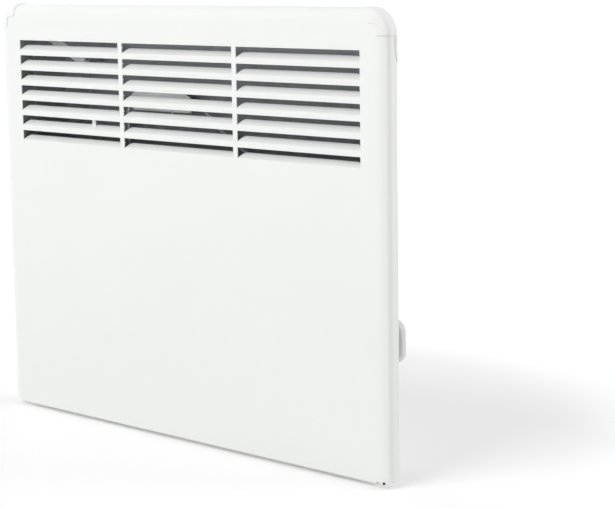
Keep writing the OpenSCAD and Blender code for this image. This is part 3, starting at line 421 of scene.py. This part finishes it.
def on_side(node, y, z):
    """The place on a node's right-hand surface at a depth and height."""
    obj = NODE[node]
    back = obj.matrix_world.inverted()
    start = Vector((LOOK_FROM, y, z))
    _, place, _, _ = obj.ray_cast(back @ start, back.to_3x3() @ Vector((-1, 0, 0)))
    return obj.matrix_world @ place


def raise_mark(bm, node, outline):
    foot = [on_side(node, y, z) for y, z in outline]
    skin(bm, [[v + MARK_SINK for v in foot], [v + MARK_LIFT for v in foot]])


def dial_ticks():
    """Ticks by their angle from upright towards the front, cut short where the panel's side comes near."""
    _, y0, z0 = HINGE_AT["knob_turn"]
    front = PANEL_HIGH.y + TICK_BEHIND_PANEL
    bm = bmesh.new()
    for angle in DIAL_ANGLES:
        along_y = -math.sin(math.radians(angle))
        along_z = math.cos(math.radians(angle))
        near, far = TICK_RADII
        if y0 + far * along_y < front:
            far = (front - y0) / along_y
        raise_mark(bm, "rear_casing", [(y0 + r * along_y - w * along_z, z0 + r * along_z + w * along_y)
                                       for r, w in corners(near, far, -TICK_HALF, TICK_HALF)])
    add_piece("dial_ticks", bm, "casing", "mark_ink")


def rocker_marks():
    _, y0, z0 = HINGE_AT["rocker_tip"]
    bm = bmesh.new()
    raise_mark(bm, "rocker_button", [(y0 + y, z0 + z) for y, z in corners(-BAR_HALF, BAR_HALF, *BAR_HEIGHTS)])
    outer, inner = ([on_side("rocker_button", y0 + r * math.cos(a), z0 - RING_BELOW + r * math.sin(a))
                     for a in turns(RING_SIDES)] for r in RING_RADII)
    skin(bm, [[v + MARK_SINK for v in outer], [v + MARK_LIFT for v in outer],
              [v + MARK_LIFT for v in inner], [v + MARK_SINK for v in inner]], hoop=True)
    add_piece("rocker_marks", bm, "rocker", "white_plastic")


louvre_clip()
edge_bumper()
dial_ticks()
rocker_marks()

# Floor: one paint to light the object, and one for the eye, with a glow that rises with distance; past NEAR_SPAN
# the glow is painted light that fades the object's shadow
FLOOR_HALF = 40.0
FLOOR_COLOR = 0.92
FLOOR_SEEN = 0.79
NEAR_SPAN = (0.31, 0.42)
NEAR_GLOW = (0.0, 0.09)
FAR_SPAN = (0.7, 2.2)
FAR_GLOW = (0.25, 0.85)

# Light: an even world, and square lamps by azimuth from the front towards +X, elevation and watts
WORLD_LEVEL = 0.455
WHITE = (1, 1, 1, 1)
AIM = Vector((0, 0, 0.15))
LAMP_AWAY = 4.0
LAMP_SIZE = 1.85
LAMPS = {
    "lamp_key": (-13, 50, 55.0),
    "lamp_left": (-45, 25, 12.5),
    "lamp_low": (-25, 8, 20.0),
    "lamp_side_right": (130, 10, 14.0),
    "lamp_back_right": (130, 35, 41.0),
    "lamp_back_left": (-110, 25, 16.0),
}


def seen_directly(t):
    """1 for rays from the camera and for mirrored or transmitted ones."""
    path = t.add("ShaderNodeLightPath")
    seen = path.outputs["Is Camera Ray"]
    for name in ("Is Glossy Ray", "Is Transmission Ray"):
        seen = t.calc("MAXIMUM", seen, path.outputs[name])
    return seen


def floor_material():
    look, t = blank_material("floor")
    out = t.add("ShaderNodeOutputMaterial")
    paint, seen_paint = (t.add("ShaderNodeBsdfDiffuse", Color=(level, level, level, 1))
                         for level in (FLOOR_COLOR, FLOOR_SEEN))
    where = t.add("ShaderNodeTexCoord")
    away = t.calc("LENGTH", where.outputs["Object"], kind=VECTOR_MATH)
    far = t.ramp(away, FAR_SPAN, FAR_GLOW, "SMOOTHSTEP")
    # Painted light: the near glow lightens the outer part of the object's shadow on the floor
    near = t.ramp(away, NEAR_SPAN, NEAR_GLOW, "SMOOTHSTEP")
    glow = t.add("ShaderNodeEmission")
    t.link(t.calc("ADD", far, near), glow.inputs["Strength"])
    seen = t.add("ShaderNodeAddShader")
    t.link(seen_paint.outputs[0], seen.inputs[0])
    t.link(glow.outputs[0], seen.inputs[1])
    t.link(t.mix_shaders(seen_directly(t), paint.outputs[0], seen.outputs[0]), out.inputs["Surface"])
    return look


def add_floor():
    mesh = bpy.data.meshes.new("floor")
    square = corners(-FLOOR_HALF, FLOOR_HALF, -FLOOR_HALF, FLOOR_HALF)
    mesh.from_pydata([(x, y, 0) for x, y in square], [], [(0, 1, 2, 3)])
    mesh.materials.append(floor_material())
    obj = bpy.data.objects.new("floor", mesh)
    scene.collection.objects.link(obj)


def add_world():
    """An even light on the object, and a white background for the eye."""
    world = bpy.data.worlds.new("studio")
    scene.world = world
    world.use_nodes = True
    world.node_tree.nodes.clear()
    t = Nodes(world.node_tree)
    out = t.add("ShaderNodeOutputWorld")
    lit = t.add("ShaderNodeBackground", Color=WHITE, Strength=WORLD_LEVEL)
    white = t.add("ShaderNodeBackground", Color=WHITE, Strength=1.0)
    t.link(t.mix_shaders(seen_directly(t), lit.outputs[0], white.outputs[0]), out.inputs["Surface"])


def add_softbox(name, azimuth, elevation, power):
    a, e = math.radians(azimuth), math.radians(elevation)
    away = Vector((math.sin(a) * math.cos(e), -math.cos(a) * math.cos(e), math.sin(e)))
    place = AIM + LAMP_AWAY * away
    data = bpy.data.lights.new(name, "AREA")
    data.shape = "SQUARE"
    data.size = LAMP_SIZE
    data.energy = power
    obj = bpy.data.objects.new(name, data)
    obj.location = place
    obj.rotation_euler = (AIM - place).to_track_quat("-Z", "Y").to_euler()
    scene.collection.objects.link(obj)


add_floor()
add_world()
for lamp, (azimuth, elevation, power) in LAMPS.items():
    add_softbox(lamp, azimuth, elevation, power)
